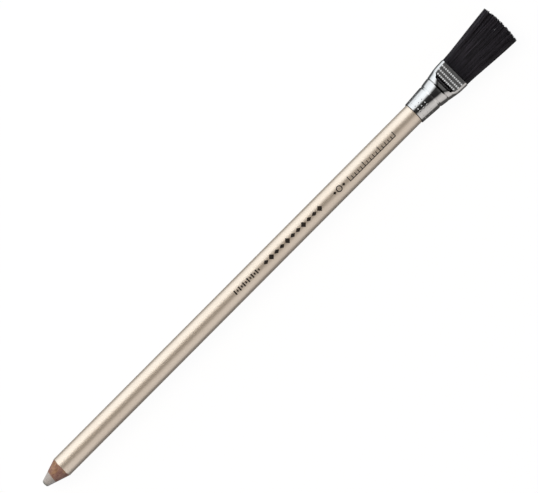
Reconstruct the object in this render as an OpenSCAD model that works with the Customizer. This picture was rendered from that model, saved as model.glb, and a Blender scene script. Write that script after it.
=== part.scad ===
// Eraser pencil: a round wood-cased eraser, sharpened to a blunt cone,
// with a flat dusting brush set in a round-to-flat metal ferrule.
// The pencil lies along X with its point towards -X, and the broad sides of the brush face up and down.
// Stations along the pencil are measured from its point, and those on the ferrule from the ferrule's rim.

/* [Barrel] */
// Diameter of the finished barrel, over the lacquer
barrel_d = 7.3; // [6.6:0.1:8.8]
// Length from the point to the wood's rear end, which is hidden in the ferrule
casing_l = 175.5; // [120:0.5:215]
// Thickness of the lacquer coat
lacquer_t = 0.18; // [0.1:0.02:0.3]
// Thickness of the glue film between the two slats and round the core
glue_t = 0.08; // [0.05:0.01:0.15]

/* [Point] */
// Diameter of the eraser core
core_d = 4.1; // [3:0.1:5]
// Diameter of the blunt end, where its face and the cone would meet in a sharp edge
tip_d = 2.1; // [1.2:0.1:2.8]
// Rounding of the blunt end's edge
tip_round = 0.35; // [0.1:0.05:0.5]
// Half angle of the sharpened cone
cone_angle = 19.2; // [12:0.1:28]

/* [Imprint] */
// Depth of the stamped ornament, which lies flush with the lacquer
imprint_t = 0.05; // [0.02:0.01:0.08]
// Distance from the ornament's rear end to the ferrule's rim
imprint_gap = 9.6; // [5:0.1:20]
// Height of the ornament's tallest marks
imprint_h = 2.2; // [1.2:0.1:2.6]
// Length of the group of upright bars
bars_l = 11; // [6:0.1:14]
// Length of the chain of lozenges
chain_l = 26.6; // [16:0.1:30]
// Length of the ring and its two lozenges
ring_l = 5.2; // [4.2:0.1:7]
// Length of the scale of ticks
scale_l = 20.6; // [12:0.1:24]

/* [Ferrule] */
// Thickness of its sheet metal
sheet_t = 0.25; // [0.2:0.01:0.35]
// Radial clearance between the barrel and the ferrule's rim
seat_gap = 0.03; // [0.01:0.01:0.08]
// Growth of the socket's radius from the rim to the rolled groove
socket_flare = 0.45; // [0.35:0.01:0.6]
// Station of the rolled groove that grips the barrel
groove_x = 7.5; // [6.5:0.1:8.5]
// Width of the rolled groove
groove_w = 1.2; // [0.8:0.1:1.4]
// Depth of the rolled groove
groove_depth = 0.3; // [0.15:0.01:0.32]
// Step up of the socket's radius behind the rolled groove
groove_step = 0.15; // [0.05:0.01:0.25]
// Distance from the rolled groove to the crease where the sheet starts to flatten
crease_gap = 3.4; // [2.6:0.1:4.5]
// Growth of the half width from the rolled groove to the crease
crease_spread = 0.34; // [0.1:0.01:0.5]
// Loss of the half depth from the rolled groove to the crease
crease_squeeze = 0.4; // [0.2:0.01:0.6]
// Depth of the crease
crease_depth = 0.15; // [0.05:0.01:0.2]
// Length of the flattening stretch from the crease to the flat band
facet_l = 3; // [2.2:0.1:4.5]
// Length of the flat band, up to the mouth
band_l = 4.5; // [3.7:0.1:7]
// Width of the flat band and its mouth, over the metal
band_w = 11.2; // [9:0.1:14]
// Thickness of the flat band, over the metal
band_t = 4; // [3.2:0.1:5]
// Rings of punched dimples that pin the ferrule to the wood
dimple_rings = 3; // [1:1:3]
// Dimples in each ring
dimple_count = 14; // [8:1:18]
// Rows of raised pads across each side of the band
pad_rows = 11; // [5:1:12]
// Columns of raised pads along the band
pad_columns = 3; // [1:1:3]
// Height of the raised pads
pad_h = 0.08; // [0.04:0.01:0.15]

/* [Brush] */
// Free length of the bristles at the middle of the brush
bristle_l = 22; // [12:0.5:30]
// Spread of the bristles to each side
spread_angle = 5.6; // [1:0.1:8]
// Growth of the brush's half thickness from the mouth to the tips
tuft_swell = 0.75; // [0:0.05:1.5]
// Depth of the bristles' set roots behind the mouth
root_l = 3; // [1.5:0.1:3.2]
// Strands across the width
strands_wide = 44; // [30:1:50]
// Strands through the thickness
strands_deep = 8; // [6:1:10]
// Thickness of a strand at its tip
strand_tip = 0.13; // [0.08:0.01:0.18]
// Largest shortfall of a strand at the ragged end
ragged = 0.9; // [0:0.1:2]

/* [Hidden] */
$fn = 96;

barrel_r = barrel_d / 2;
core_r = core_d / 2;
groove_r = core_r + glue_t;
slat_r = barrel_r - lacquer_t;
tip_r = tip_d / 2;

// The casing ends just past the rolled groove, and the ferrule's place follows from it.
seat_past = 0.1;
rim_x = casing_l - groove_x - groove_w / 2 - seat_past;
crease_x = groove_x + crease_gap;
band_x = crease_x + facet_l;
ferrule_l = band_x + band_l;
total_l = rim_x + ferrule_l + bristle_l;
rim_r = barrel_r + seat_gap + sheet_t;
neck_r = rim_r + socket_flare;
collar_r = neck_r + groove_step;
// Length of the slopes on each side of the rolled groove's floor
groove_slope = 0.3;

// The lacquer is trimmed off the seat, so that the adhesive grips bare wood, up to this far inside the rim.
trim_lap = 0.1;
trim_x = rim_x + trim_lap;

// Clear runs between the ornament's groups, and the stations at which the groups begin
ring_to_scale = 1.6;
chain_to_ring = 5.1;
bars_to_chain = 1.8;
scale_x = rim_x - imprint_gap - scale_l;
ring_x = scale_x - ring_to_scale - ring_l;
chain_x = ring_x - chain_to_ring - chain_l;
bars_x = chain_x - bars_to_chain - bars_l;
// Heights of the groups that stay below the tallest marks, as shares of their height
scale_share = 0.9;
bars_share = 0.75;

// The rolled collar is the lowest thing on the pencil and lies on the surface.
axis_z = collar_r;

// The lofted part laps the turned socket and the drawn band by a little, and stands this much proud of them.
lap = 0.02;
proud = 0.03;
collar_l = 0.5;
collar_end = groove_x + groove_w / 2 + collar_l;
crease_half_w = collar_r + crease_spread;
crease_half_t = collar_r - crease_squeeze;
crease_half_l = 0.35;
// Loss of half depth across the crease, and in its floor
crease_drop = 0.3;
crease_floor_drop = 0.1;
band_r = band_t / 2;
band_half_w = band_w / 2;
ring_n = 40;

// The adhesive starts this far inside the rim.
glue_setback = 1;
// The resin stops short of the wood by this much, and clears the sheet by a hair.
resin_gap = 0.9;
resin_clearance = 0.02;
tuft_clearance = 0.03;
tuft_r = band_r - sheet_t - tuft_clearance;
tuft_half_w = band_half_w - sheet_t - tuft_clearance;
tip_half_w = tuft_half_w + bristle_l * tan(spread_angle);
tip_tuft_r = tuft_r + tuft_swell;
// Half thickness of the tuft at its outermost strands, as a share of the whole
edge_share = 0.45;
// The end of the brush is slightly convex: the outermost strands are shorter by this much.
end_bow = 0.7;

dimple_x = 1.8;
dimple_pitch = 1.45;
dimple_w = 0.45;
dimple_depth = 0.12;
// The pads fill the band's flat side evenly.
pad_x = band_x + 0.5;
pad_pitch_x = 1.3;
pad_pitch_y = (band_w - band_t) / pad_rows;
pad_l = 0.85;
pad_w = pad_pitch_y * 0.55;

// Station at which the sharpened cone reaches radius r
function cone_x(r) = (r - tip_r) / tan(cone_angle);

// Puts what is drawn along +X from the point into the part's own frame.
module placed() {
    translate([-total_l / 2, 0, axis_z]) children();
}

// Turns a profile of [radius, station] points about the pencil's axis.
module turned(profile) {
    rotate([0, 90, 0]) rotate_extrude() polygon(profile);
}

// The slab that the glue fills between the two slats
module glue_plane() {
    translate([0, -barrel_r, -glue_t / 2]) cube([casing_l, barrel_d, glue_t]);
}

// Profile of a layer of the sharpened pencil between two radii, up to station end
function sharpened(inner, outer, end = casing_l) = [
    [inner, cone_x(inner)],
    [outer, cone_x(outer)],
    [outer, end],
    [inner, end]
];

module eraser_core() {
    tangent = tip_round / tan(45 + cone_angle / 2);
    edge = [for (i = [0:4]) let (a = -90 + (90 - cone_angle) * i / 4)
        [tip_r - tangent + tip_round * cos(a), tip_round + tip_round * sin(a)]];
    color([0.66, 0.65, 0.65]) placed()
        turned(concat([[0, 0]], edge, [[core_r, cone_x(core_r)], [core_r, casing_l], [0, casing_l]]));
}

// One half of the wood casing, with half of the core's groove in it
module slat() {
    difference() {
        rotate([0, 90, 0]) rotate([0, 0, 90]) rotate_extrude(angle = 180)
            polygon(sharpened(groove_r, slat_r));
        glue_plane();
    }
}

module upper_slat() {
    color([0.66, 0.45, 0.36]) placed() slat();
}

module lower_slat() {
    color([0.62, 0.42, 0.34]) placed() mirror([0, 0, 1]) slat();
}

module casing_glue() {
    color([0.9, 0.86, 0.74]) placed() {
        turned(sharpened(core_r, groove_r));
        intersection() {
            turned(sharpened(core_r, slat_r));
            glue_plane();
        }
    }
}

// A row of upright bars as wide as the gaps between them, with every second one half as tall
module bar_group(length, height) {
    bars = 12;
    bar_w = length / (2 * bars - 1);
    for (i = [0:bars - 1])
        translate([bar_w * (2 * i + 0.5), 0])
            square([bar_w, i % 2 == 0 ? height : height / 2], center = true);
}

module lozenge(length, height) {
    polygon([[-length / 2, 0], [0, -height / 2], [length / 2, 0], [0, height / 2]]);
}

// A chain of lozenges, where the second of every three is tall
module lozenge_group(length, height) {
    lozenges = 11;
    pitch = length / lozenges;
    filled = 0.85;
    low = 0.65;
    for (i = [0:lozenges - 1])
        translate([pitch * (i + 0.5), 0]) lozenge(pitch * filled, height * (i % 3 == 1 ? 1 : low));
}

// A ring between two lozenges
module ring_group(length, height) {
    line = 0.35;
    side_gap = 0.36;
    side_l = (length - height) / 2 - side_gap;
    translate([length / 2, 0]) difference() {
        circle(d = height, $fn = 48);
        circle(d = height - 2 * line, $fn = 48);
    }
    for (x = [side_l / 2, length - side_l / 2])
        translate([x, 0]) lozenge(side_l, height / 2);
}

// A scale of ticks on a base line, with every fifth one tall
module tick_group(length, height) {
    steps = 15;
    line = 0.3;
    low = 0.62;
    pitch = (length - line) / steps;
    translate([0, -height / 2]) {
        square([length, line]);
        for (i = [0:steps])
            translate([pitch * i, 0]) square([line, height * (i % 5 == 0 ? 1 : low)]);
    }
}

// The four groups of the ornament, laid out from the ferrule's rim towards the point
module ornament() {
    translate([scale_x, 0]) tick_group(scale_l, imprint_h * scale_share);
    translate([ring_x, 0]) ring_group(ring_l, imprint_h);
    translate([chain_x, 0]) lozenge_group(chain_l, imprint_h);
    translate([bars_x, 0]) bar_group(bars_l, imprint_h * bars_share);
}

module imprint_body() {
    margin = 1;
    start = bars_x - margin;
    end = scale_x + scale_l + margin;
    floor_r = barrel_r - imprint_t;
    intersection() {
        turned([[floor_r, start], [barrel_r, start], [barrel_r, end], [floor_r, end]]);
        linear_extrude(height = barrel_d) ornament();
    }
}

module lacquer_coat() {
    color([0.81, 0.76, 0.68]) placed() difference() {
        turned(sharpened(slat_r, barrel_r, trim_x));
        imprint_body();
    }
}

module imprint() {
    color([0.16, 0.14, 0.12]) placed() imprint_body();
}

// Outer profile of the ferrule's turned socket, drawn in by an amount, as [radius, station from the rim]
function socket_profile(inset) = let (floor_half = groove_w / 2 - groove_slope) [
    [rim_r - inset, 0],
    [neck_r - inset, groove_x - groove_w / 2],
    [neck_r - groove_depth - inset, groove_x - floor_half],
    [neck_r - groove_depth - inset, groove_x + floor_half],
    [collar_r - inset, groove_x + groove_w / 2],
    [collar_r - inset, collar_end + lap]
];

// Sections of the ferrule's lofted part, as [station from the rim, half width, half thickness]
loft_sections = [
    [collar_end, collar_r + proud, collar_r],
    [crease_x - crease_half_l, crease_half_w, crease_half_t],
    [crease_x, crease_half_w - crease_depth, crease_half_t - crease_depth - crease_floor_drop],
    [crease_x + crease_half_l, crease_half_w, crease_half_t - crease_drop],
    [band_x, band_half_w + proud, band_r + proud]
];

// One section's outline in space: a straight run above and below between two half rounds
function section_ring(section, inset) =
    let (r = section[2] - inset, straight = section[1] - section[2], half_n = ring_n / 2)
    [for (side = [1, -1], i = [0:half_n]) let (a = -90 + 180 * i / half_n)
        [section[0], side * (straight + r * cos(a)), side * r * sin(a)]];

// Triangles between two rings of n points that start at indices a and b
function ring_strip(a, b, n) = [for (i = [0:n - 1], half = [0, 1]) let (j = (i + 1) % n)
    half == 0 ? [a + i, b + i, b + j] : [a + i, b + j, a + j]];

// Triangles that close a ring of n points that starts at index a
function ring_cap(a, n, flip) = [for (i = [1:n - 2])
    flip ? [a, a + i + 1, a + i] : [a, a + i, a + i + 1]];

// The sheet from the round collar to the flat band, open at both ends
module ferrule_loft() {
    n = ring_n + 2;
    last = len(loft_sections) - 1;
    inner_first = n * (last + 1);
    outer = [for (s = loft_sections) each section_ring(s, 0)];
    inner = [for (i = [0:last]) let (extra = (i == 0 || i == last) ? 2 * proud : 0)
        each section_ring(loft_sections[i], sheet_t + extra)];
    polyhedron(
        points = concat(outer, inner),
        faces = concat(
            [for (i = [0:last - 1]) each ring_strip(n * i, n * (i + 1), n)],
            [for (i = [0:last - 1]) each ring_strip(inner_first + n * (i + 1), inner_first + n * i, n)],
            ring_strip(inner_first, 0, n),
            ring_strip(n * last, inner_first + n * last, n)));
}

// Outline of the flat band, drawn in by an amount, across Y and Z
module band_outline(inset) {
    straight = band_half_w - band_r;
    square([band_t - 2 * inset, 2 * straight], center = true);
    for (side = [1, -1])
        translate([0, side * straight]) circle(r = band_r - inset);
}

module ferrule_band() {
    translate([band_x - lap, 0, 0]) rotate([0, 90, 0])
        linear_extrude(height = ferrule_l - band_x + lap) difference() {
            band_outline(0);
            band_outline(sheet_t);
        }
}

module band_pads() {
    for (side = [1, -1], column = [0:pad_columns - 1], row = [0:pad_rows - 1])
        translate([pad_x + pad_pitch_x * column, pad_pitch_y * (row - (pad_rows - 1) / 2), side * band_r])
            cube([pad_l, pad_w, 2 * pad_h], center = true);
}

module dimples() {
    for (ring = [0:dimple_rings - 1], i = [0:dimple_count - 1])
        let (x = dimple_x + dimple_pitch * ring, r = rim_r + socket_flare * x / (groove_x - groove_w / 2))
            rotate([360 * i / dimple_count, 0, 0]) translate([x, 0, r]) rotate([0, 0, 45])
                cube([dimple_w, dimple_w, 2 * dimple_depth], center = true);
}

module ferrule() {
    color([0.8, 0.8, 0.81]) placed() translate([rim_x, 0, 0]) {
        difference() {
            turned(concat(socket_profile(0), [for (i = [5:-1:0]) socket_profile(sheet_t)[i]]));
            dimples();
        }
        ferrule_loft();
        ferrule_band();
        band_pads();
    }
}

// Adhesive that fills the flared socket round the bare wood
module ferrule_glue() {
    inside = socket_profile(sheet_t);
    start_r = inside[0][0] + socket_flare * glue_setback / inside[1][1];
    color([0.88, 0.84, 0.7]) placed() translate([rim_x, 0, 0])
        turned([[slat_r, glue_setback], [start_r, glue_setback], inside[1], inside[2], inside[3],
                inside[4], [inside[4][0], casing_l - rim_x], [slat_r, casing_l - rim_x]]);
}

// The section at a station between two sections
function section_between(a, b, station) = a + (b - a) * (station - a[0]) / (b[0] - a[0]);

// Resin that holds the bristles' roots in the flattened part
module bristle_glue() {
    back = section_between(loft_sections[0], loft_sections[1], casing_l - rim_x + resin_gap);
    front = [ferrule_l - root_l, band_half_w, band_r];
    drawn_in = sheet_t + 2 * proud + resin_clearance;
    sections = concat([back], [for (i = [1:4]) loft_sections[i]], [front]);
    n = ring_n + 2;
    color([0.82, 0.66, 0.36]) placed() translate([rim_x, 0, 0])
        polyhedron(
            points = [for (s = sections) each section_ring(s, drawn_in)],
            faces = concat(
                [for (i = [0:4]) each ring_strip(n * i, n * (i + 1), n)],
                ring_cap(0, n, false),
                ring_cap(n * 5, n, true)));
}

// Where a strand of the tuft stands, for shares u across the width and v through the thickness
function tuft_point(x, half_w, r, u, v) =
    let (y = u * (half_w - r * (1 - sqrt(1 - edge_share ^ 2))), past = max(0, abs(y) - (half_w - r)))
    [x, y, v * sqrt(r ^ 2 - past ^ 2)];

// The tuft: strands whose square feet tile the set roots, so that no two of them cross
module bristles() {
    wide = strands_wide;
    deep = strands_deep;
    mouth_x = ferrule_l;
    feet = (wide + 1) * (deep + 1);
    short = rands(0, 1, wide * deep, 7);
    sway = rands(-0.3, 0.3, 2 * wide * deep, 11);
    grid = [for (x = [mouth_x - root_l, mouth_x], i = [0:wide], j = [0:deep])
        tuft_point(x, tuft_half_w, tuft_r, 2 * i / wide - 1, 2 * j / deep - 1)];
    tips = [for (i = [0:wide - 1], j = [0:deep - 1]) let (
            k = i * deep + j,
            u = (2 * i + 1 + sway[2 * k]) / wide - 1,
            v = (2 * j + 1 + sway[2 * k + 1]) / deep - 1,
            x = mouth_x + bristle_l - end_bow * u ^ 2 - ragged * short[k] ^ 3,
            c = tuft_point(x, tip_half_w, tip_tuft_r, u, v),
            h = strand_tip / 2)
        each [c + [0, -h, -h], c + [0, h, -h], c + [0, h, h], c + [0, -h, h]]];
    // Index of grid corner p = [i, j] on the back (0) or the mouth side (1) of the set roots
    function at(side, p) = side * feet + p[0] * (deep + 1) + p[1];
    around = concat(
        [for (i = [0:wide - 1]) [i, 0]], [for (j = [0:deep - 1]) [wide, j]],
        [for (i = [wide:-1:1]) [i, deep]], [for (j = [deep:-1:1]) [0, j]]);
    rim_n = len(around);
    centre = 2 * feet + len(tips);
    back = [for (i = [0:rim_n - 1]) [centre, at(0, around[i]), at(0, around[(i + 1) % rim_n])]];
    walls = [for (i = [0:rim_n - 1], half = [0, 1]) let (p = around[i], q = around[(i + 1) % rim_n])
        half == 0 ? [at(0, p), at(1, p), at(1, q)] : [at(0, p), at(1, q), at(0, q)]];
    strands = [for (i = [0:wide - 1], j = [0:deep - 1]) let (
            foot = [at(1, [i, j]), at(1, [i + 1, j]), at(1, [i + 1, j + 1]), at(1, [i, j + 1])],
            t = 2 * feet + 4 * (i * deep + j))
        each concat(
            [for (s = [0:3], half = [0, 1]) let (next = (s + 1) % 4)
                half == 0 ? [foot[s], t + s, t + next] : [foot[s], t + next, foot[next]]],
            [[t, t + 2, t + 1], [t, t + 3, t + 2]])];
    color([0.15, 0.13, 0.15]) placed() translate([rim_x, 0, 0])
        polyhedron(
            points = concat(grid, tips, [[mouth_x - root_l, 0, 0]]),
            faces = concat(back, walls, strands));
}

eraser_core();
upper_slat();
lower_slat();
casing_glue();
lacquer_coat();
imprint();
ferrule();
ferrule_glue();
bristle_glue();
bristles();
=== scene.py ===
# Eraser pencil with a flat dusting brush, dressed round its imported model.
# Lengths in the dictionaries are millimetres, and stations are counted from the eraser's point.
import math
import random

import bmesh
import bpy
from mathutils import Matrix, Vector, noise


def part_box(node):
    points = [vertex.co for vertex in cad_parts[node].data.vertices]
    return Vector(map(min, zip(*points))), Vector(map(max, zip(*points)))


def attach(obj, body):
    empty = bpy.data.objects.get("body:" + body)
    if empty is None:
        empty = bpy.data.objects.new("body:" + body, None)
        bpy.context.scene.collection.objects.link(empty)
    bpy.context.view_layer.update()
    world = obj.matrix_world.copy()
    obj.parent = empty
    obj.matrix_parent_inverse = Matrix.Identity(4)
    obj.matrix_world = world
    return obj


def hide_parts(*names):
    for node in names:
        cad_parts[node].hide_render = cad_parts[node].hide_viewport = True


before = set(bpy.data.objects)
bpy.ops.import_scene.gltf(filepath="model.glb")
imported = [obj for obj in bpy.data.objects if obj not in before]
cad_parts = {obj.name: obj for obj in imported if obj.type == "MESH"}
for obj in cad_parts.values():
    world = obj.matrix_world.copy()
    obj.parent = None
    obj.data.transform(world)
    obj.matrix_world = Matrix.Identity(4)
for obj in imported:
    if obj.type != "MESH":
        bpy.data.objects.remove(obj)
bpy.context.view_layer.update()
mm = 0.001
scene = bpy.context.scene

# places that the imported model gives
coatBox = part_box("lacquer_coat")
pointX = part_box("eraser_core")[0].x
axisZ = (coatBox[0].z + coatBox[1].z) / 2
barrelR = (coatBox[1].y - coatBox[0].y) / 2 / mm


def stationOf(x):
    return (x - pointX) / mm


coatEnd = stationOf(coatBox[1].x)
woodEnd = stationOf(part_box("upper_slat")[1].x)
rim = stationOf(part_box("ferrule")[0].x)
mouth = stationOf(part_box("ferrule")[1].x)
brushEnd = stationOf(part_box("bristles")[1].x)
imprintStart = stationOf(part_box("imprint")[0].x)
imprintEnd = stationOf(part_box("imprint")[1].x)


def place(station, y, z):
    return Vector((pointX + station * mm, y * mm, axisZ + z * mm))


def onRound(station, radius, angle):  # angle 0 is up, and a quarter turn is towards +Y
    return place(station, radius * math.sin(angle), radius * math.cos(angle))


rippleR = 4  # radius of the round that the noise is read on


def ripple(station, angle, size, seed):  # smooth noise of about -1 to 1 over the pencil's surface
    at = Vector((station, rippleR * math.sin(angle), rippleR * math.cos(angle))) / size
    return noise.noise(at + Vector((seed, 0, 0)))


def between(a, b, count):
    return [a + (b - a) * i / count for i in range(count + 1)]


# loops of equal length, joined one to the next
def addSections(bm, sections, closed=False, capped=False):
    loops = [[bm.verts.new(p) for p in loop] for loop in sections]
    pairs = list(zip(loops, loops[1:] + loops[:1] if closed else loops[1:]))
    for a, b in pairs:
        for i in range(len(a)):
            j = (i + 1) % len(a)
            bm.faces.new((a[i], b[i], b[j], a[j]))
    if capped:
        bm.faces.new(loops[0])
        bm.faces.new(list(reversed(loops[-1])))


def meshObject(name, bm, material):
    mesh = bpy.data.meshes.new(name)
    bm.to_mesh(mesh)
    bm.free()
    mesh.materials.append(material)
    made = bpy.data.objects.new(name, mesh)
    scene.collection.objects.link(made)
    return made


weldGap = 1e-7  # metres
leastEdge = 1e-8


def finishPiece(name, bm, material, stoodFor, weld=True):
    if weld:
        bmesh.ops.remove_doubles(bm, verts=bm.verts, dist=weldGap)
        bmesh.ops.dissolve_degenerate(bm, edges=bm.edges, dist=leastEdge)
    bmesh.ops.recalc_face_normals(bm, faces=bm.faces)
    piece = meshObject(name, bm, material)
    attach(piece, "root")
    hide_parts(*stoodFor)
    return piece


# smooth, but for edges sharper than the angle
def shadeSmooth(piece, degrees=180):
    mesh = piece.data
    mesh.polygons.foreach_set("use_smooth", [True] * len(mesh.polygons))
    if degrees < 180:
        mesh.set_sharp_from_angle(angle=math.radians(degrees))
    mesh.update()


# an sRGB hex colour as the linear one that a shader takes
def linear(hexText):
    parts = [int(hexText[i:i + 2], 16) / 255 for i in (1, 3, 5)]
    return (*[c / 12.92 if c <= 0.04045 else ((c + 0.055) / 1.055) ** 2.4 for c in parts], 1)


# one node with its settings, and a value or a link for each socket
def addNode(tree, kind, sockets=None, **settings):
    node = tree.nodes.new("ShaderNode" + kind)
    for key, value in settings.items():
        setattr(node, key, value)
    for key, value in (sockets or {}).items():
        if isinstance(value, bpy.types.NodeSocket):
            tree.links.new(value, node.inputs[key])
        else:
            node.inputs[key].default_value = value
    return node


def newMaterial(name, sockets):
    made = bpy.data.materials.new(name)
    made.use_nodes = True
    tree = made.node_tree
    shader = next(n for n in tree.nodes if n.type == "BSDF_PRINCIPLED")
    for key, value in sockets.items():
        shader.inputs[key].default_value = value
    coords = addNode(tree, "TexCoord").outputs["Object"]
    return made, tree, shader, coords


# noise whose blobs are about size millimetres, drawn out along an axis by its stretch
def noiseOf(tree, coords, size, stretch=(1, 1, 1), detail=3, roughness=0.5):
    scaled = addNode(tree, "Mapping", {"Vector": coords, "Scale": [1 / (size * mm * s) for s in stretch]})
    return addNode(tree, "TexNoise", {
        "Vector": scaled.outputs[0], "Scale": 1, "Detail": detail, "Roughness": roughness}).outputs["Fac"]


# a colour ramp from (place, tone) pairs, each tone an sRGB hex text or the level of a linear grey
def rampOf(tree, factor, stops):
    ramp = addNode(tree, "ValToRGB", {"Fac": factor})
    bands = ramp.color_ramp.elements
    while len(bands) < len(stops):
        bands.new(1)
    for band, (at, tone) in zip(bands, stops):
        band.position = at
        band.color = linear(tone) if isinstance(tone, str) else (tone, tone, tone, 1)
    return ramp.outputs["Color"]


def mixOf(tree, factor, first, second):
    both = addNode(tree, "Mix", {"Factor": factor, "A": first, "B": second}, data_type="RGBA")
    return both.outputs["Result"]


def rangeOf(tree, factor, low, high):
    return addNode(tree, "MapRange", {"Value": factor, "To Min": low, "To Max": high}).outputs[0]


# 0 to 1 between two stations along the pencil
def stationIn(tree, coords, start, end):
    along = addNode(tree, "SeparateXYZ", {0: coords}).outputs["X"]
    return addNode(tree, "MapRange", {
        "Value": along, "From Min": pointX + start * mm, "From Max": pointX + end * mm}).outputs[0]


# depth is in millimetres
def bumpOn(tree, shader, height, depth, strength=1):
    made = addNode(tree, "Bump", {"Height": height, "Distance": depth * mm, "Strength": strength})
    tree.links.new(made.outputs[0], shader.inputs["Normal"])


def makePearlLacquer():
    # Lacquer with coated mica in it, laid on in thin coats under a clear one: a warm body colour and a
    # broad champagne gleam, paler where it is brightest.
    made, tree, shader, coords = newMaterial("pearlLacquer", {
        "Metallic": 0.7, "Coat Weight": 1, "Coat Roughness": 0.2})
    cloud = noiseOf(tree, coords, 6, (3, 1, 1))
    tree.links.new(rampOf(tree, cloud, [(0.3, "#ebdccc"), (0.7, "#f2e4d5")]), shader.inputs["Base Color"])
    flake = noiseOf(tree, coords, 0.25, detail=2)  # pigment is finer, drawn as coarse as it needs to show
    tree.links.new(rangeOf(tree, flake, 0.28, 0.4), shader.inputs["Roughness"])
    bumpOn(tree, shader, flake, 0.004, 0.4)
    return made


def makeCutCedar():
    # Incense cedar cut by a sharpener's blade: matt and reddish, with fine straight grain along the pencil.
    made, tree, shader, coords = newMaterial("cutCedar", {
        "Roughness": 0.62, "Specular IOR Level": 0.35})
    grain = noiseOf(tree, coords, 0.35, (9, 1, 1), detail=5, roughness=0.6)
    wide = noiseOf(tree, coords, 1.5, (5, 1, 1), detail=2)
    fine = rampOf(tree, grain, [(0.36, "#614540"), (0.5, "#80625b"), (0.62, "#9a7e72")])
    warm = rampOf(tree, wide, [(0.46, "#785851"), (0.6, "#94724a")])
    tree.links.new(mixOf(tree, 0.45, fine, warm), shader.inputs["Base Color"])
    bumpOn(tree, shader, grain, 0.03, 0.6)
    return made


def makeEraserRubber():
    # Grey eraser compound with a mild abrasive in it: matt, with fine pits and specks, and grubby at its
    # used end.
    made, tree, shader, coords = newMaterial("eraserRubber", {
        "Roughness": 0.8, "Specular IOR Level": 0.3})
    speck = noiseOf(tree, coords, 0.22, detail=4, roughness=0.65)
    clean = rampOf(tree, speck, [(0.35, "#8c898a"), (0.65, "#adaaab")])
    used = rampOf(tree, speck, [(0.4, "#606463"), (0.65, "#8c908e")])
    usedFrom, usedTo = 0.9, 0.2  # stations
    worn = stationIn(tree, coords, usedFrom, usedTo)
    tree.links.new(mixOf(tree, worn, clean, used), shader.inputs["Base Color"])
    bumpOn(tree, shader, speck, 0.04, 0.6)
    return made


def makeStampedFoil():
    # Dark hot-stamped foil: nearly black, a little worn where it met the lacquer's high spots.
    made, tree, shader, coords = newMaterial("stampedFoil", {"Metallic": 0.3, "Roughness": 0.45})
    wear = noiseOf(tree, coords, 0.3, detail=4)
    tree.links.new(rampOf(tree, wear, [(0.4, "#211c18"), (0.72, "#3a332b")]), shader.inputs["Base Color"])
    return made


# painted shade in the ferrule's crease and at its rim: a dark line where the crease and the rim's gap would
# lie in shadow
paintedShade = {
    "creaseAt": 10.75,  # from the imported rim
    "halfWide": 0.32, "halfThin": 0.08,  # in the middle and at the crease's ends
    "middle": -0.3,
    "thinFrom": 1.6, "thinTo": 2.6,  # distance from the middle at which it gets thin
    "shadeFadeFrom": -2.1, "shadeFadeTo": -2.9,  # the painted shade in the crease fades out further towards -Y
    "soft": 0.08,
    "rimFrom": 0.06, "rimTo": -0.04,
}


# 0 to 1 as the value goes from low to high millimetres
def shareOf(tree, value, low, high):
    return addNode(tree, "MapRange", {
        "Value": value, "From Min": low * mm, "From Max": high * mm}).outputs[0]


# how far a coordinate is from a middle
def distanceOf(tree, value, middle):
    off = addNode(tree, "Math", {0: value, 1: middle}, operation="SUBTRACT")
    return addNode(tree, "Math", {0: off.outputs[0]}, operation="ABSOLUTE").outputs[0]


# mask of the painted shade in the crease and at the rim
def paintedShadeMask(tree, coords):
    axes = addNode(tree, "SeparateXYZ", {0: coords})
    off = distanceOf(tree, axes.outputs["X"], pointX + (rim + paintedShade["creaseAt"]) * mm)
    side = distanceOf(tree, axes.outputs["Y"], paintedShade["middle"] * mm)
    thin = shareOf(tree, side, paintedShade["thinFrom"], paintedShade["thinTo"])
    wide = rangeOf(tree, thin, paintedShade["halfWide"] * mm, paintedShade["halfThin"] * mm)
    inside = addNode(tree, "Math", {0: wide, 1: off}, operation="SUBTRACT")
    inCrease = shareOf(tree, inside.outputs[0], 0, paintedShade["soft"])
    left = shareOf(tree, axes.outputs["Y"], paintedShade["shadeFadeTo"], paintedShade["shadeFadeFrom"])
    inCrease = addNode(tree, "Math", {0: inCrease, 1: left}, operation="MULTIPLY")
    atRim = stationIn(tree, coords, rim + paintedShade["rimFrom"], rim + paintedShade["rimTo"])
    return addNode(tree, "Math", {0: atRim, 1: inCrease.outputs[0]}, operation="MAXIMUM").outputs[0]


def makeNickelPlate():
    # Thin brass sheet, pressed and bright nickel plated: a near mirror with faint drawing marks, duller
    # where it is knurled, and with shade painted dark into its crease and at its rim.
    made, tree, shader, coords = newMaterial("nickelPlate", {"Metallic": 1})
    knurlFrom, knurlTo, knurlRough = mouth - 4.8, mouth - 4.65, 0.22
    marks = noiseOf(tree, coords, 0.2, (12, 1, 1), detail=3)
    plain = rangeOf(tree, marks, 0.05, 0.13)
    knurled = stationIn(tree, coords, knurlFrom, knurlTo)
    matt = addNode(tree, "Math", {0: knurled, 1: knurlRough, 2: plain}, operation="MULTIPLY_ADD")
    tree.links.new(matt.outputs[0], shader.inputs["Roughness"])
    tint = noiseOf(tree, coords, 3)
    clean = rampOf(tree, tint, [(0.3, "#e0dddb"), (0.7, "#e8e6e4")])
    shadeTone = rampOf(tree, tint, [(0.3, "#141414"), (0.7, "#2a2826")])
    # the base colour goes near black where shade is painted into the crease and at the rim
    tree.links.new(mixOf(tree, paintedShadeMask(tree, coords), clean, shadeTone), shader.inputs["Base Color"])
    bumpOn(tree, shader, marks, 0.004, 0.3)
    return made


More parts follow.
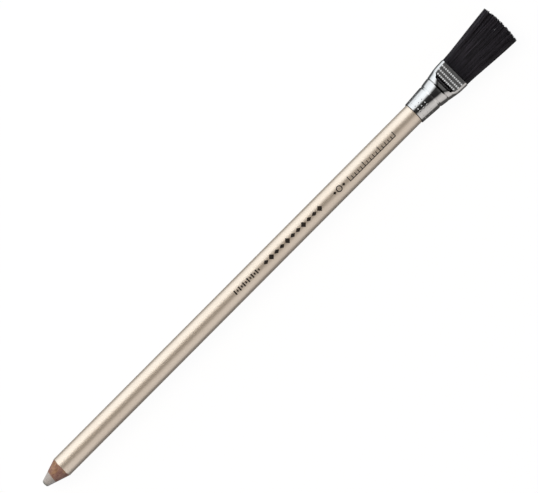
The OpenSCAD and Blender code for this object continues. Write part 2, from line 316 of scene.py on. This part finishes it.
def makeBlackFilament():
    # Tapered nylon filament, dyed black, with shade painted darker where it leaves the ferrule, and a
    # thin gleam towards the tips.
    made, tree, shader, coords = newMaterial("blackFilament", {
        "Roughness": 0.5, "Specular IOR Level": 0.35})
    rootShadeL = 6  # how far past the mouth the painted shade reaches
    strand = noiseOf(tree, coords, 0.3, (40, 1, 1), detail=3)
    rootShade = rampOf(tree, strand, [(0.35, "#111014"), (0.7, "#19171f")])
    free = rampOf(tree, strand, [(0.35, "#19181c"), (0.7, "#36333d")])
    along = stationIn(tree, coords, mouth, mouth + rootShadeL)
    # painted shade: the strands are coloured darker near the mouth, as if shaded by the ferrule
    tree.links.new(mixOf(tree, along, rootShade, free), shader.inputs["Base Color"])
    return made


def makeSetGlue(name, light, dark, roughness):
    # Set glue or resin, poured and left: smooth and faintly cloudy.
    made, tree, shader, coords = newMaterial(name, {"Roughness": roughness})
    cloud = noiseOf(tree, coords, 0.8)
    tree.links.new(rampOf(tree, cloud, [(0.3, dark), (0.7, light)]), shader.inputs["Base Color"])
    return made


pearlLacquer = makePearlLacquer()
cutCedar = makeCutCedar()
eraserRubber = makeEraserRubber()
stampedFoil = makeStampedFoil()
nickelPlate = makeNickelPlate()
blackFilament = makeBlackFilament()
woodGlue = makeSetGlue("woodGlue", "#866b5c", "#775e50", 0.6)
ferruleAdhesive = makeSetGlue("ferruleAdhesive", "#e0d8bd", "#d3c9aa", 0.5)
castResin = makeSetGlue("castResin", "#d6ab5c", "#c4974a", 0.15)
for node, material in [("ferrule_glue", ferruleAdhesive), ("bristle_glue", castResin)]:
    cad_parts[node].data.materials.clear()
    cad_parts[node].data.materials.append(material)
print("materials made")

# The sharpened body
body = {
    "coreR": 2.17,
    "coreOff": 0.1,  # how far the core lies off the middle, towards +Y
    "film": 0.08,  # of glue, round the core
    "woodR": 3.47,
    "cutR": 3.6,  # where the cut goes over from the wood to the lacquer
    "tipR": 1.06,
    "tipRound": 0.8,
    "tipBack": 0.03,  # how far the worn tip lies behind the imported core's
    "tipDish": 0.05, "dishSize": 0.6,  # unevenness of the worn tip, and its grain
    "dishRise": 3,  # how fast the unevenness comes in from the tip's middle, per millimetre
    "halfAngle": 18.2,  # degrees
    "turnSteps": 128,
    "coneRings": 14, "tipRings": 6,
    "pastTip": 0.1,  # how much wider the cone's first ring is than the tip
    "seam": 0.04,  # half of the glue film between the slats
    "bladeMarks": 0.014,  # how far the sharpener's blade leaves the cone uneven
    "marksSize": 0.5,
    "marksDrawn": 0.25,  # the marks' width as a share of their length along the pencil
    "coatRagged": 0.16,  # waviness of the lacquer's cut edge
    "raggedSize": 1.6, "raggedFine": 0.5,
    "coatOver": 0.01,  # gap between the lacquer and the wood
    "coatLip": 0.12,  # length of the soft edge behind the cut
    "coatStart": 2, "coatRings": 40,  # the even rings, and how far behind the cut they start
}


def coneStation(radius):
    return (radius - body["tipR"]) / math.tan(math.radians(body["halfAngle"]))


# a point on the cut cone, pushed in or out a little by the blade's marks
def onCone(radius, angle, seed):
    station = coneStation(radius)
    marks = ripple(station * body["marksDrawn"], angle, body["marksSize"], seed)
    marks += ripple(station, angle, body["marksSize"] / 2, seed) / 2
    return onRound(station, radius + body["bladeMarks"] * marks, angle)


# the core's surface at an angle, as seen from the pencil's middle
def coreEdge(angle):
    return body["coreR"] + body["coreOff"] * math.sin(angle)


def turnAngles():
    steps = body["turnSteps"]
    return [2 * math.pi * i / steps for i in range(steps)]


def makeEraserCore():
    cone = math.radians(body["halfAngle"])
    edgeR = body["tipRound"]
    flatR = body["tipR"] - edgeR / math.tan(math.radians(45) + cone / 2)
    sections = []
    for angle in turnAngles():
        loop = [place(woodEnd, 0, 0)]
        for r in between(0, flatR, body["tipRings"]):
            dish = body["tipDish"] * ripple(r, angle, body["dishSize"], 5)
            dish *= min(1, r * body["dishRise"])
            loop.append(onRound(body["tipBack"] + dish, r, angle))
        for a in between(math.radians(-90), -cone, body["tipRings"])[1:]:
            loop.append(onRound(edgeR + edgeR * math.sin(a), flatR + edgeR * math.cos(a), angle))
        for r in between(body["tipR"] + body["pastTip"], coreEdge(angle), body["coneRings"])[1:]:
            loop.append(onCone(r, angle, 1))
        loop.append(onRound(woodEnd, coreEdge(angle), angle))
        sections.append(loop)
    bm = bmesh.new()
    addSections(bm, sections, closed=True)
    piece = finishPiece("eraserCore", bm, eraserRubber, ["eraser_core"])
    shadeSmooth(piece, 50)


# a slat's flat faces stand off the seam by half of the glue film, so its angles close up a little
def slatAngle(middle, turn, r):
    return middle + turn * (1 - math.asin(body["seam"] / r) * 2 / math.pi)


# half of the casing, round the middle angle
def makeSlat(name, middle, node, seed):
    steps = body["turnSteps"] // 2
    woodR = body["woodR"]
    sections = []
    for i in range(steps + 1):
        turn = -math.pi / 2 + math.pi * i / steps
        inner = coreEdge(middle + turn) + body["film"]
        radii = between(inner, body["cutR"], body["coneRings"])
        loop = [onCone(r, slatAngle(middle, turn, r), seed) for r in radii]
        loop.append(onRound(coneStation(body["cutR"]), woodR, slatAngle(middle, turn, woodR)))
        loop.append(onRound(woodEnd, woodR, slatAngle(middle, turn, woodR)))
        loop.append(onRound(woodEnd, inner, slatAngle(middle, turn, inner)))
        sections.append(loop)
    bm = bmesh.new()
    addSections(bm, sections, capped=True)
    piece = finishPiece(name, bm, cutCedar, [node])
    shadeSmooth(piece, 40)


# the film round the core, and one on each side between the slats
def makeGlueFilm():
    bm = bmesh.new()
    sections = []
    for angle in turnAngles():
        inner = coreEdge(angle)
        outer = inner + body["film"]
        sections.append([
            onCone(inner, angle, 1), onCone(outer, angle, 1), onRound(woodEnd, outer, angle),
            onRound(woodEnd, inner, angle)])
    addSections(bm, sections, closed=True)
    for side in (-1, 1):
        inner = coreEdge(side * math.pi / 2) + body["film"]
        radii = between(inner, body["cutR"], body["coneRings"])
        sections = []
        for z in (-body["seam"], body["seam"]):
            loop = [place(coneStation(r), side * r, z) for r in radii]
            loop.append(place(coneStation(body["cutR"]), side * body["woodR"], z))
            loop += [place(woodEnd, side * body["woodR"], z), place(woodEnd, side * inner, z)]
            sections.append(loop)
        addSections(bm, sections, capped=True)
    piece = finishPiece("glueFilm", bm, woodGlue, ["casing_glue"], weld=False)
    shadeSmooth(piece, 40)


# a tube with a bevelled, slightly ragged front edge where the sharpener cut through it
def makeLacquerCoat():
    sections = []
    start = coneStation(body["cutR"])
    bevelEnd = coneStation(barrelR)
    over = body["coatOver"]
    stations = between(bevelEnd + body["coatStart"], coatEnd, body["coatRings"])
    for angle in turnAngles():
        wave = ripple(0, angle, body["raggedSize"], 9) + ripple(0, angle, body["raggedFine"], 9) / 2
        wave *= body["coatRagged"]
        loop = [
            onRound(start + wave, body["woodR"] + over, angle),
            onRound(start + wave, body["cutR"] + over, angle),
            onRound(bevelEnd + wave, barrelR - over, angle),
            onRound(bevelEnd + wave + body["coatLip"], barrelR, angle),
        ]
        loop += [onRound(station, barrelR, angle) for station in stations]
        loop.append(onRound(coatEnd, body["woodR"] + over, angle))
        sections.append(loop)
    bm = bmesh.new()
    addSections(bm, sections, closed=True)
    piece = finishPiece("lacquerCoat", bm, pearlLacquer, ["lacquer_coat"])
    shadeSmooth(piece, 30)


makeEraserCore()
makeSlat("upperSlat", 0, "upper_slat", 3)
makeSlat("lowerSlat", math.pi, "lower_slat", 7)
makeGlueFilm()
makeLacquerCoat()
print("body made")

# The stamped ornament: bars, a chain of lozenges, a ring between two lozenges, and a scale of ticks
ornament = {
    "tall": 2.2,
    "proud": 0.008,
    "sunk": 0.05,
    "barsL": 11, "bars": 12, "barTall": 0.75,  # this and the heights below are shares of tall
    "barsToChain": 1.8,
    "chainL": 26.6, "lozenges": 11, "lozengeLong": 0.85,  # share of their pitch
    "smallLozenge": 0.65, "largeEvery": 3,
    "chainToRing": 5.1,
    "ringL": 5.2, "ringLine": 0.35, "ringGap": 0.36, "ringSteps": 48,
    "scaleL": 20.6, "scaleSteps": 15, "scaleLine": 0.3, "scaleTall": 0.9,
    "shortTick": 0.62, "longEvery": 5,
    "patchSteps": 8,
    "pointHalf": 0.01,  # half width of a lozenge's points
}


# a thin solid laid on the barrel from rows of flat (station, across) points
def wrapPatch(bm, rows, closed=False):
    outer = barrelR + ornament["proud"]
    inner = barrelR - ornament["sunk"]
    sections = []
    for row in rows:
        over = [onRound(x, outer, across / barrelR) for x, across in row]
        under = [onRound(x, inner, across / barrelR) for x, across in reversed(row)]
        sections.append(over + under)
    addSections(bm, sections, closed=closed, capped=not closed)


def addBar(bm, start, end, low, high):
    acrosses = between(low, high, ornament["patchSteps"])
    wrapPatch(bm, [[(x, across) for across in acrosses] for x in (start, end)])


def addLozenge(bm, middle, length, height):
    steps = ornament["patchSteps"]
    rows = []
    for share in between(-1, 1, steps):
        half = max(ornament["pointHalf"], height / 2 * (1 - abs(share)))
        rows.append([(middle + share * length / 2, across) for across in between(-half, half, steps)])
    wrapPatch(bm, rows)


def addRing(bm, middle, diameter, line):
    steps = ornament["ringSteps"]
    radii = (diameter / 2 - line, diameter / 2)
    rows = []
    for i in range(steps):
        angle = 2 * math.pi * i / steps
        rows.append([(middle + r * math.cos(angle), r * math.sin(angle)) for r in radii])
    wrapPatch(bm, rows, closed=True)


def makeOrnament():
    bm = bmesh.new()
    tall = ornament["tall"]
    start = imprintStart
    width = ornament["barsL"] / (2 * ornament["bars"] - 1)
    for i in range(ornament["bars"]):
        half = tall * ornament["barTall"] / 2
        if i % 2:
            half /= 2
        addBar(bm, start + 2 * i * width, start + (2 * i + 1) * width, -half, half)
    start += ornament["barsL"] + ornament["barsToChain"]
    pitch = ornament["chainL"] / ornament["lozenges"]
    for i in range(ornament["lozenges"]):
        height = tall * (1 if i % ornament["largeEvery"] == 1 else ornament["smallLozenge"])
        addLozenge(bm, start + pitch * (i + 0.5), pitch * ornament["lozengeLong"], height)
    start += ornament["chainL"] + ornament["chainToRing"]
    sideL = (ornament["ringL"] - tall) / 2 - ornament["ringGap"]
    addRing(bm, start + ornament["ringL"] / 2, tall, ornament["ringLine"])
    for middle in (start + sideL / 2, start + ornament["ringL"] - sideL / 2):
        addLozenge(bm, middle, sideL, tall / 2)
    start = imprintEnd - ornament["scaleL"]
    height, line = tall * ornament["scaleTall"], ornament["scaleLine"]
    addBar(bm, start, imprintEnd, -height / 2, -height / 2 + line)
    pitch = (ornament["scaleL"] - line) / ornament["scaleSteps"]
    for i in range(ornament["scaleSteps"] + 1):
        top = height * (ornament["shortTick"] if i % ornament["longEvery"] else 1) - height / 2
        addBar(bm, start + pitch * i, start + pitch * i + line, -height / 2 + line, top)
    finishPiece("stampedOrnament", bm, stampedFoil, ["imprint"], weld=False)


makeOrnament()
print("ornament made")

# The ferrule, pressed from one thin tube. Its stations are counted from the rim.
ferrule = {
    "sheet": 0.25,
    # (station, half width, half thickness) of the tube before anything is pressed into it
    "shape": [
        (0, 3.99, 3.99), (1.2, 4.06, 4.05), (2.6, 4.16, 4.14), (4, 4.26, 4.22), (5.2, 4.36, 4.3),
        (6.6, 4.45, 4.36), (8.3, 4.6, 4.4), (9.6, 4.79, 4.32), (10.8, 4.92, 4.15), (11.4, 5, 4.04),
        (12.3, 5.17, 3.82), (12.6, 5.22, 3.66), (13.2, 5.32, 3.08), (14, 5.48, 2.38),
        (14.2, 5.51, 2.26), (15.5, 5.65, 2.13), (18.6, 5.76, 1.94),
    ],
    # (station, half width, squareness of the corners) of the flat on its upper and lower side
    "flats": [
        (0, 0, 2), (4, 0.06, 2), (7.4, 0.36, 2), (10.8, 0.5, 2), (11.3, 0.7, 2.3), (12.2, 1.6, 2.3),
        (12.8, 2.4, 2.2), (13.7, 3.7, 2), (14, 4.1, 2), (15.5, 4.4, 2), (18.6, 4.5, 2),
    ],
    # (station, how far the press left the top of the section off the middle, towards -Y)
    "skew": [(0, 0), (4.3, 0.16), (9, 0.38), (11.7, 0.33), (12.9, 0.16), (13.9, 0), (18.6, 0)],
    "leastFlat": 1.2,  # the dense columns of the mesh cover this half width at least
    "flatSteps": 46, "roundSteps": 66, "rings": 300,
    "outlineFlat": 6, "outlineRound": 240,  # steps of the outline that the columns are spaced on
    "overlap": 0.2,  # how far it reaches over the lacquer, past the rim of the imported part
    "grooveAt": 7.65, "grooveWidth": 0.6, "grooveDepth": 0.22,
    "creaseAt": 11, "creaseWidth": 0.3, "creaseEnds": 0.18, "creaseDepth": 0.25,
    "creaseHalfW": 3.2,  # where it is as narrow as at its ends
    "dimpleAt": [1.6, 3.15, 4.65], "dimplesRound": 24, "dimpleTurn": 2.7,  # degrees
    "dimpleR": 0.3, "dimpleDepth": 0.1,
    "padAt": [14.3, 15.65, 17.2], "padRows": [10, 12, 12], "padPitch": 0.775,
    "padLong": 0.42, "padWide": 0.25, "padHigh": 0.18,
    "lipRound": 0.3, "lipDrop": 0.08,
}


# a value read off (x, value) points, along a curve without kinks
def smoothBetween(points, x):
    last = len(points) - 2
    i = next((i for i in range(last) if x <= points[i + 1][0]), last)
    (x0, y0), (x1, y1) = points[i], points[i + 1]
    before = points[i - 1] if i else (2 * x0 - x1, 2 * y0 - y1)
    after = points[i + 2] if i < last else (2 * x1 - x0, 2 * y1 - y0)
    t = max(0, min(1, (x - x0) / (x1 - x0)))
    slope0 = (y1 - before[1]) / (x1 - before[0]) * (x1 - x0)
    slope1 = (after[1] - y0) / (after[0] - x0) * (x1 - x0)
    bend = (1 - t) ** 2 * t * slope0 - t * t * (1 - t) * slope1
    return y0 + (y1 - y0) * t * t * (3 - 2 * t) + bend


def straightBetween(points, x):
    for (x0, *low), (x1, *high) in zip(points, points[1:]):
        if x <= x1:
            share = max(0, x - x0) / (x1 - x0)
            return [a + (b - a) * share for a, b in zip(low, high)]
    return points[-1][1:]


# 1 at the middle of a pressed line or spot, falling to 0 at its width
def hollow(distance, width):
    share = min(1, abs(distance) / width)
    return (1 - share * share) ** 2


# (y, z, normal y, normal z) points round the tube, spaced closely on its flats
def ferruleOutline(station):
    halfW = smoothBetween([(s, w) for s, w, t in ferrule["shape"]], station)
    halfT = smoothBetween([(s, t) for s, w, t in ferrule["shape"]], station)
    flat, square = straightBetween(ferrule["flats"], station)
    flatYs = between(0, flat, ferrule["outlineFlat"])[:-1]
    curve = [(y, halfT) for y in flatYs]
    for a in between(0, math.pi, ferrule["outlineRound"]):
        side, up = math.sin(a) ** (2 / square), abs(math.cos(a)) ** (2 / square)
        curve.append((flat + (halfW - flat) * side, math.copysign(halfT * up, math.cos(a))))
    curve += [(y, -halfT) for y in reversed(flatYs)]
    leastStep = 1e-6
    curve = [p for i, p in enumerate(curve) if i == 0 or math.dist(p, curve[i - 1]) > leastStep]
    run = [0]
    for a, b in zip(curve, curve[1:]):
        run.append(run[-1] + math.dist(a, b))
    dense = max(flat, ferrule["leastFlat"])
    stops = between(0, dense, ferrule["flatSteps"])
    stops += between(dense, run[-1] - dense, ferrule["roundSteps"])[1:]
    stops += between(run[-1] - dense, run[-1], ferrule["flatSteps"])[1:]
    half = []
    at = 0
    for stop in stops:
        while at < len(run) - 2 and run[at + 1] < stop:
            at += 1
        (y0, z0), (y1, z1) = curve[at], curve[at + 1]
        share = (stop - run[at]) / (run[at + 1] - run[at])
        step = math.hypot(y1 - y0, z1 - z0)
        half.append((y0 + (y1 - y0) * share, z0 + (z1 - z0) * share, (z0 - z1) / step, (y1 - y0) / step))
    both = half + [(-y, z, -ny, nz) for y, z, ny, nz in half[-2:0:-1]]
    skew = straightBetween(ferrule["skew"], station)[0]
    return [(y - skew * (1 - (y / halfW) ** 2), z, ny, nz) for y, z, ny, nz in both]


# how far the tools push the sheet in (negative) or out at a place
def ferrulePress(station, y, z):
    push = -ferrule["grooveDepth"] * hollow(station - ferrule["grooveAt"], ferrule["grooveWidth"])
    narrowing = min(1, (y / ferrule["creaseHalfW"]) ** 2)
    width = ferrule["creaseWidth"] + (ferrule["creaseEnds"] - ferrule["creaseWidth"]) * narrowing
    push -= ferrule["creaseDepth"] * hollow(station - ferrule["creaseAt"], width)
    push -= ferrule["lipDrop"] * max(0, 1 - station / ferrule["lipRound"]) ** 2
    step = 2 * math.pi / ferrule["dimplesRound"]
    for at in ferrule["dimpleAt"]:
        along = station - at
        if abs(along) < ferrule["dimpleR"]:
            turned = ((math.atan2(y, z) - math.radians(ferrule["dimpleTurn"])) / step) % 1
            around = min(turned, 1 - turned) * step * math.hypot(y, z)
            push -= ferrule["dimpleDepth"] * hollow(math.hypot(along, around), ferrule["dimpleR"])
    for at, rows in zip(ferrule["padAt"], ferrule["padRows"]):
        along = (station - at) / ferrule["padLong"]
        if abs(along) < 1:
            row = y / ferrule["padPitch"] + (rows - 1) / 2
            near = max(0, min(rows - 1, round(row)))
            across = (row - near) * ferrule["padPitch"] / ferrule["padWide"]
            push += ferrule["padHigh"] * hollow(math.hypot(along, across), 1)
    return push


def makeFerrule():
    start = rim - ferrule["overlap"]
    sections = []
    for station in between(0, mouth - start, ferrule["rings"]):
        loop = []
        for y, z, ny, nz in ferruleOutline(station):
            push = ferrulePress(station, y, z)
            loop.append(place(start + station, y + ny * push, z + nz * push))
        sections.append(loop)
    bm = bmesh.new()
    addSections(bm, sections)
    piece = finishPiece("brushFerrule", bm, nickelPlate, ["ferrule"])
    shadeSmooth(piece)
    wall = piece.modifiers.new("sheet", "SOLIDIFY")
    wall.thickness = ferrule["sheet"] * mm
    wall.offset = -1
    wall.use_rim = True


makeFerrule()
print("ferrule made")

# The brush: tapered filaments set in the mouth, in clumps that draw together towards their tips
brush = {
    "strands": 2300,
    "rootIn": 1.2,  # how far behind the mouth the strands start
    "rootHalfW": 5.44, "rootHalfT": 1.58,
    "tipHalfW": 7.38, "tipHalfT": 2.25,
    "spread": 1.14,  # power of the way out along which the tuft widens
    "drift": 0.5, "driftPower": 1.2,  # how far the tips lean towards +Y
    "clumps": 90, "clumpPull": 0.45, "leastPull": 0.4,
    "clumpTall": 3,  # how many times as thick as wide a clump is
    "tipStray": (0.012, 0.04),  # shares of the tuft's width and thickness
    "thick": 0.15, "tipThick": 0.07,
    "endBow": 0.6, "ragged": 0.8,
    "clumpRagged": 0.45, "strandRagged": 0.55,  # shares of the raggedness
    "wander": 0.3, "wanderZ": 0.15,
    "cornerRound": 0.93, "thinnest": 0.02,  # the thinnest half thickness is given as its square
    "rings": 6, "sides": 4,
    "seed": 5,
}


# a place across the tuft for shares from -1 to 1
def inTuft(halfW, halfT, u, v):
    y = u * halfW
    past = max(0, abs(y) - (halfW - halfT))
    return y, v * math.sqrt(max(brush["thinnest"], halfT ** 2 - (past * brush["cornerRound"]) ** 2))


def addStrand(bm, path, startR, endR):
    sections = []
    last = len(path) - 1
    for i, p in enumerate(path):
        ahead = path[min(i + 1, last)] - path[max(i - 1, 0)]
        sideways = ahead.cross(Vector((0, 0, 1))).normalized()
        upwards = sideways.cross(ahead).normalized()
        radius = (startR + (endR - startR) * (i / last) ** 2) * mm
        loop = []
        for k in range(brush["sides"]):
            a = 2 * math.pi * k / brush["sides"]
            loop.append(p + sideways * radius * math.cos(a) + upwards * radius * math.sin(a))
        sections.append(loop)
    addSections(bm, sections, capped=True)


def makeBrush():
    rng = random.Random(brush["seed"])
    clumps = []  # places across the tuft, and how much shorter each clump is
    for _ in range(brush["clumps"]):
        clumps.append((rng.uniform(-1, 1), rng.uniform(-1, 1), rng.uniform(0, 1) ** 2))
    strayY, strayZ = brush["tipStray"]
    free = brushEnd - mouth
    bm = bmesh.new()
    for _ in range(brush["strands"]):
        u, v = rng.uniform(-1, 1), rng.uniform(-1, 1)
        near = min(clumps, key=lambda c: ((c[0] - u) * brush["clumpTall"]) ** 2 + (c[1] - v) ** 2)
        pull = brush["clumpPull"] * rng.uniform(brush["leastPull"], 1)
        tipU = u + (near[0] - u) * pull + rng.gauss(0, strayY)
        tipV = v + (near[1] - v) * pull + rng.gauss(0, strayZ)
        tipU, tipV = max(-1, min(1, tipU)), max(-1, min(1, tipV))
        rootY, rootZ = inTuft(brush["rootHalfW"], brush["rootHalfT"], u, v)
        tipY, tipZ = inTuft(brush["tipHalfW"], brush["tipHalfT"], tipU, tipV)
        uneven = brush["clumpRagged"] * near[2] + brush["strandRagged"] * rng.random() ** 3
        short = brush["endBow"] * tipU ** 2 + brush["ragged"] * uneven
        bend = rng.gauss(0, brush["wander"])
        bendZ = rng.gauss(0, brush["wanderZ"])
        path = []
        for t in between(0, 1, brush["rings"] - 1):
            station = mouth - brush["rootIn"] + (free + brush["rootIn"] - short) * t
            arc = 2 * t * (1 - t) * t  # a strand bows out most past its middle
            out = max(0, station - mouth) / free
            wide = out ** brush["spread"]
            y = rootY + (tipY - rootY) * wide + brush["drift"] * out ** brush["driftPower"] + bend * arc
            z = rootZ + (tipZ - rootZ) * wide + bendZ * arc
            path.append(place(station, y, z))
        addStrand(bm, path, brush["thick"] / 2, brush["tipThick"] / 2)
    piece = finishPiece("dustingBrush", bm, blackFilament, ["bristles"], weld=False)
    shadeSmooth(piece, 60)


makeBrush()
print("brush made")

# Camera at the photograph's viewing angle: straight down, but for a small lean towards the point
view = {
    "distance": 900,
    "lean": 2,  # degrees
    "roll": 45.11,  # of the pencil above the picture's horizontal, in degrees
    "width": 172,  # of the frame where the pencil lies
    "target": (0.3, 2.85),  # the frame's middle, from the middle of the pencil
}


def makeCamera():
    lean, roll = math.radians(view["lean"]), math.radians(view["roll"])
    along = Vector((math.cos(lean), 0, math.sin(lean)))
    back = Vector((-math.sin(lean), 0, math.cos(lean)))
    left = Vector((0, 1, 0))
    right = along * math.cos(roll) - left * math.sin(roll)
    up = along * math.sin(roll) + left * math.cos(roll)
    lens = bpy.data.cameras.new("camera")
    lens.sensor_width = 36
    lens.lens = lens.sensor_width * view["distance"] / view["width"]
    lens.clip_start, lens.clip_end = 0.1, 20
    camera = bpy.data.objects.new("camera", lens)
    target = Vector((view["target"][0] * mm, view["target"][1] * mm, axisZ))
    spot = Matrix.Translation(target + back * view["distance"] * mm)
    camera.matrix_world = spot @ Matrix((right, up, back)).transposed().to_4x4()
    scene.collection.objects.link(camera)
    scene.camera = camera


# The stage: a white table and a pale shell round it, and long soft boxes that only the gloss sees
stageLook = {
    "tableR": 3.5,  # metres
    "shellR": 4.8,  # metres
    "tableGlow": 0.95, "tableTone": "#424245",
    "shellGlow": 0.97,
    "keySize": 1.4, "keyPower": 26, "keyTone": (1, 0.85, 0.66), "keySpot": (-0.5, 0.9, 1.5),  # metres
    # brightness of the surroundings round the pencil, by degrees from straight up towards -Y
    "bands": [
        (-180, 0.07), (-132, 0.12), (-118, 0.14), (-103, 0.97), (-64, 1.34), (-38, 1.26), (-19, 0.05),
        (0, 0.025), (12, 0.025), (31, 0.58), (60, 0.72), (91, 0.61), (107, 0.08), (128, 0.08), (180, 0.06),
    ],
    "tints": [(0.35, "#f2f9fe"), (0.6, "#fefcfa")],  # the box on the +Y side is cooler
    # how bright the soft boxes are along the pencil, from behind its point (0) to past its brush (1)
    "boxEnds": [(0, 0.12), (0.05, 0.15), (0.17, 1), (0.84, 1), (0.9, 1.25), (0.94, 0.03), (0.97, 0.002)],
    # a fainter one stands past the brush, above the pencil's line
    "farBox": [(0, 0), (0.68, 0), (0.76, 0.1), (0.82, 0.13), (0.92, 0)],
    "farBoxSide": 2.5, "farBoxSoft": 4,  # half of its width and its soft edge, in degrees
}


def makeTable():
    # Matt white card, glowing so evenly that it shows as white as the photograph's ground.
    paper, tree, shader, coords = newMaterial("whiteTable", {
        "Roughness": 0.9, "Specular IOR Level": 0, "Emission Strength": stageLook["tableGlow"],
        "Emission Color": (1, 1, 1, 1), "Base Color": linear(stageLook["tableTone"])})
    # from below, it lets the view through
    clear = addNode(tree, "BsdfTransparent").outputs[0]
    behind = addNode(tree, "NewGeometry").outputs["Backfacing"]
    both = addNode(tree, "MixShader", {0: behind, 1: shader.outputs[0], 2: clear})
    output = next(n for n in tree.nodes if n.type == "OUTPUT_MATERIAL")
    tree.links.new(both.outputs[0], output.inputs["Surface"])
    bm = bmesh.new()
    bmesh.ops.create_circle(bm, cap_ends=True, segments=96, radius=stageLook["tableR"])
    table = meshObject("table", bm, paper)
    table.visible_glossy = False


# a pale shell round the stage, which only the camera sees
def makeShell():
    glow = bpy.data.materials.new("paleShell")
    glow.use_nodes = True
    glow.node_tree.nodes.clear()
    lit = addNode(glow.node_tree, "Emission", {"Strength": stageLook["shellGlow"]})
    end = addNode(glow.node_tree, "OutputMaterial", {"Surface": lit.outputs[0]})
    end.is_active_output = True
    bm = bmesh.new()
    bmesh.ops.create_icosphere(bm, subdivisions=4, radius=stageLook["shellR"])
    shell = meshObject("shell", bm, glow)
    for seen in ("visible_diffuse", "visible_glossy", "visible_transmission", "visible_shadow"):
        setattr(shell, seen, False)


# degrees from straight up as a share of the full turn
def turnShare(degrees):
    return (degrees + 180) / 360


def makeSurroundings():
    world = bpy.data.worlds.new("softBoxes")
    scene.world = world
    world.use_nodes = True
    tree = world.node_tree
    sky = next(n for n in tree.nodes if n.type == "BACKGROUND")
    facing = addNode(tree, "SeparateXYZ", {0: addNode(tree, "TexCoord").outputs["Generated"]})
    flipped = addNode(tree, "Math", {0: facing.outputs["Y"], 1: -1}, operation="MULTIPLY")
    angle = addNode(tree, "Math", {0: flipped.outputs[0], 1: facing.outputs["Z"]}, operation="ARCTAN2")
    turn = addNode(tree, "MapRange", {
        "Value": angle.outputs[0], "From Min": -math.pi, "From Max": math.pi}).outputs[0]
    along = addNode(tree, "MapRange", {"Value": facing.outputs["X"], "From Min": -1}).outputs[0]
    boxes = rampOf(tree, turn, [(turnShare(degrees), level) for degrees, level in stageLook["bands"]])
    ends = rampOf(tree, along, stageLook["boxEnds"])
    half = stageLook["farBoxSide"]
    edge = half + stageLook["farBoxSoft"]
    window = [(-180, 0), (-edge, 0), (-half, 1), (half, 1), (edge, 0)]
    far = addNode(tree, "Math", {
        0: rampOf(tree, along, stageLook["farBox"]),
        1: rampOf(tree, turn, [(turnShare(degrees), level) for degrees, level in window]),
    }, operation="MULTIPLY")
    light = addNode(tree, "Math", {0: boxes, 1: ends, 2: far.outputs[0]}, operation="MULTIPLY_ADD")
    tree.links.new(light.outputs[0], sky.inputs["Strength"])
    tree.links.new(rampOf(tree, turn, stageLook["tints"]), sky.inputs["Color"])


def makeKeyLight():
    lamp = bpy.data.lights.new("key", "AREA")
    lamp.shape = "DISK"
    lamp.size = stageLook["keySize"]
    lamp.energy = stageLook["keyPower"]
    lamp.color = stageLook["keyTone"]
    key = bpy.data.objects.new("key", lamp)
    key.location = stageLook["keySpot"]
    key.rotation_euler = (-key.location).to_track_quat("-Z", "Y").to_euler()
    key.visible_camera = False
    key.visible_glossy = False
    scene.collection.objects.link(key)


makeCamera()
makeTable()
makeShell()
makeSurroundings()
makeKeyLight()
scene.view_settings.view_transform = "Standard"
print("stage made")
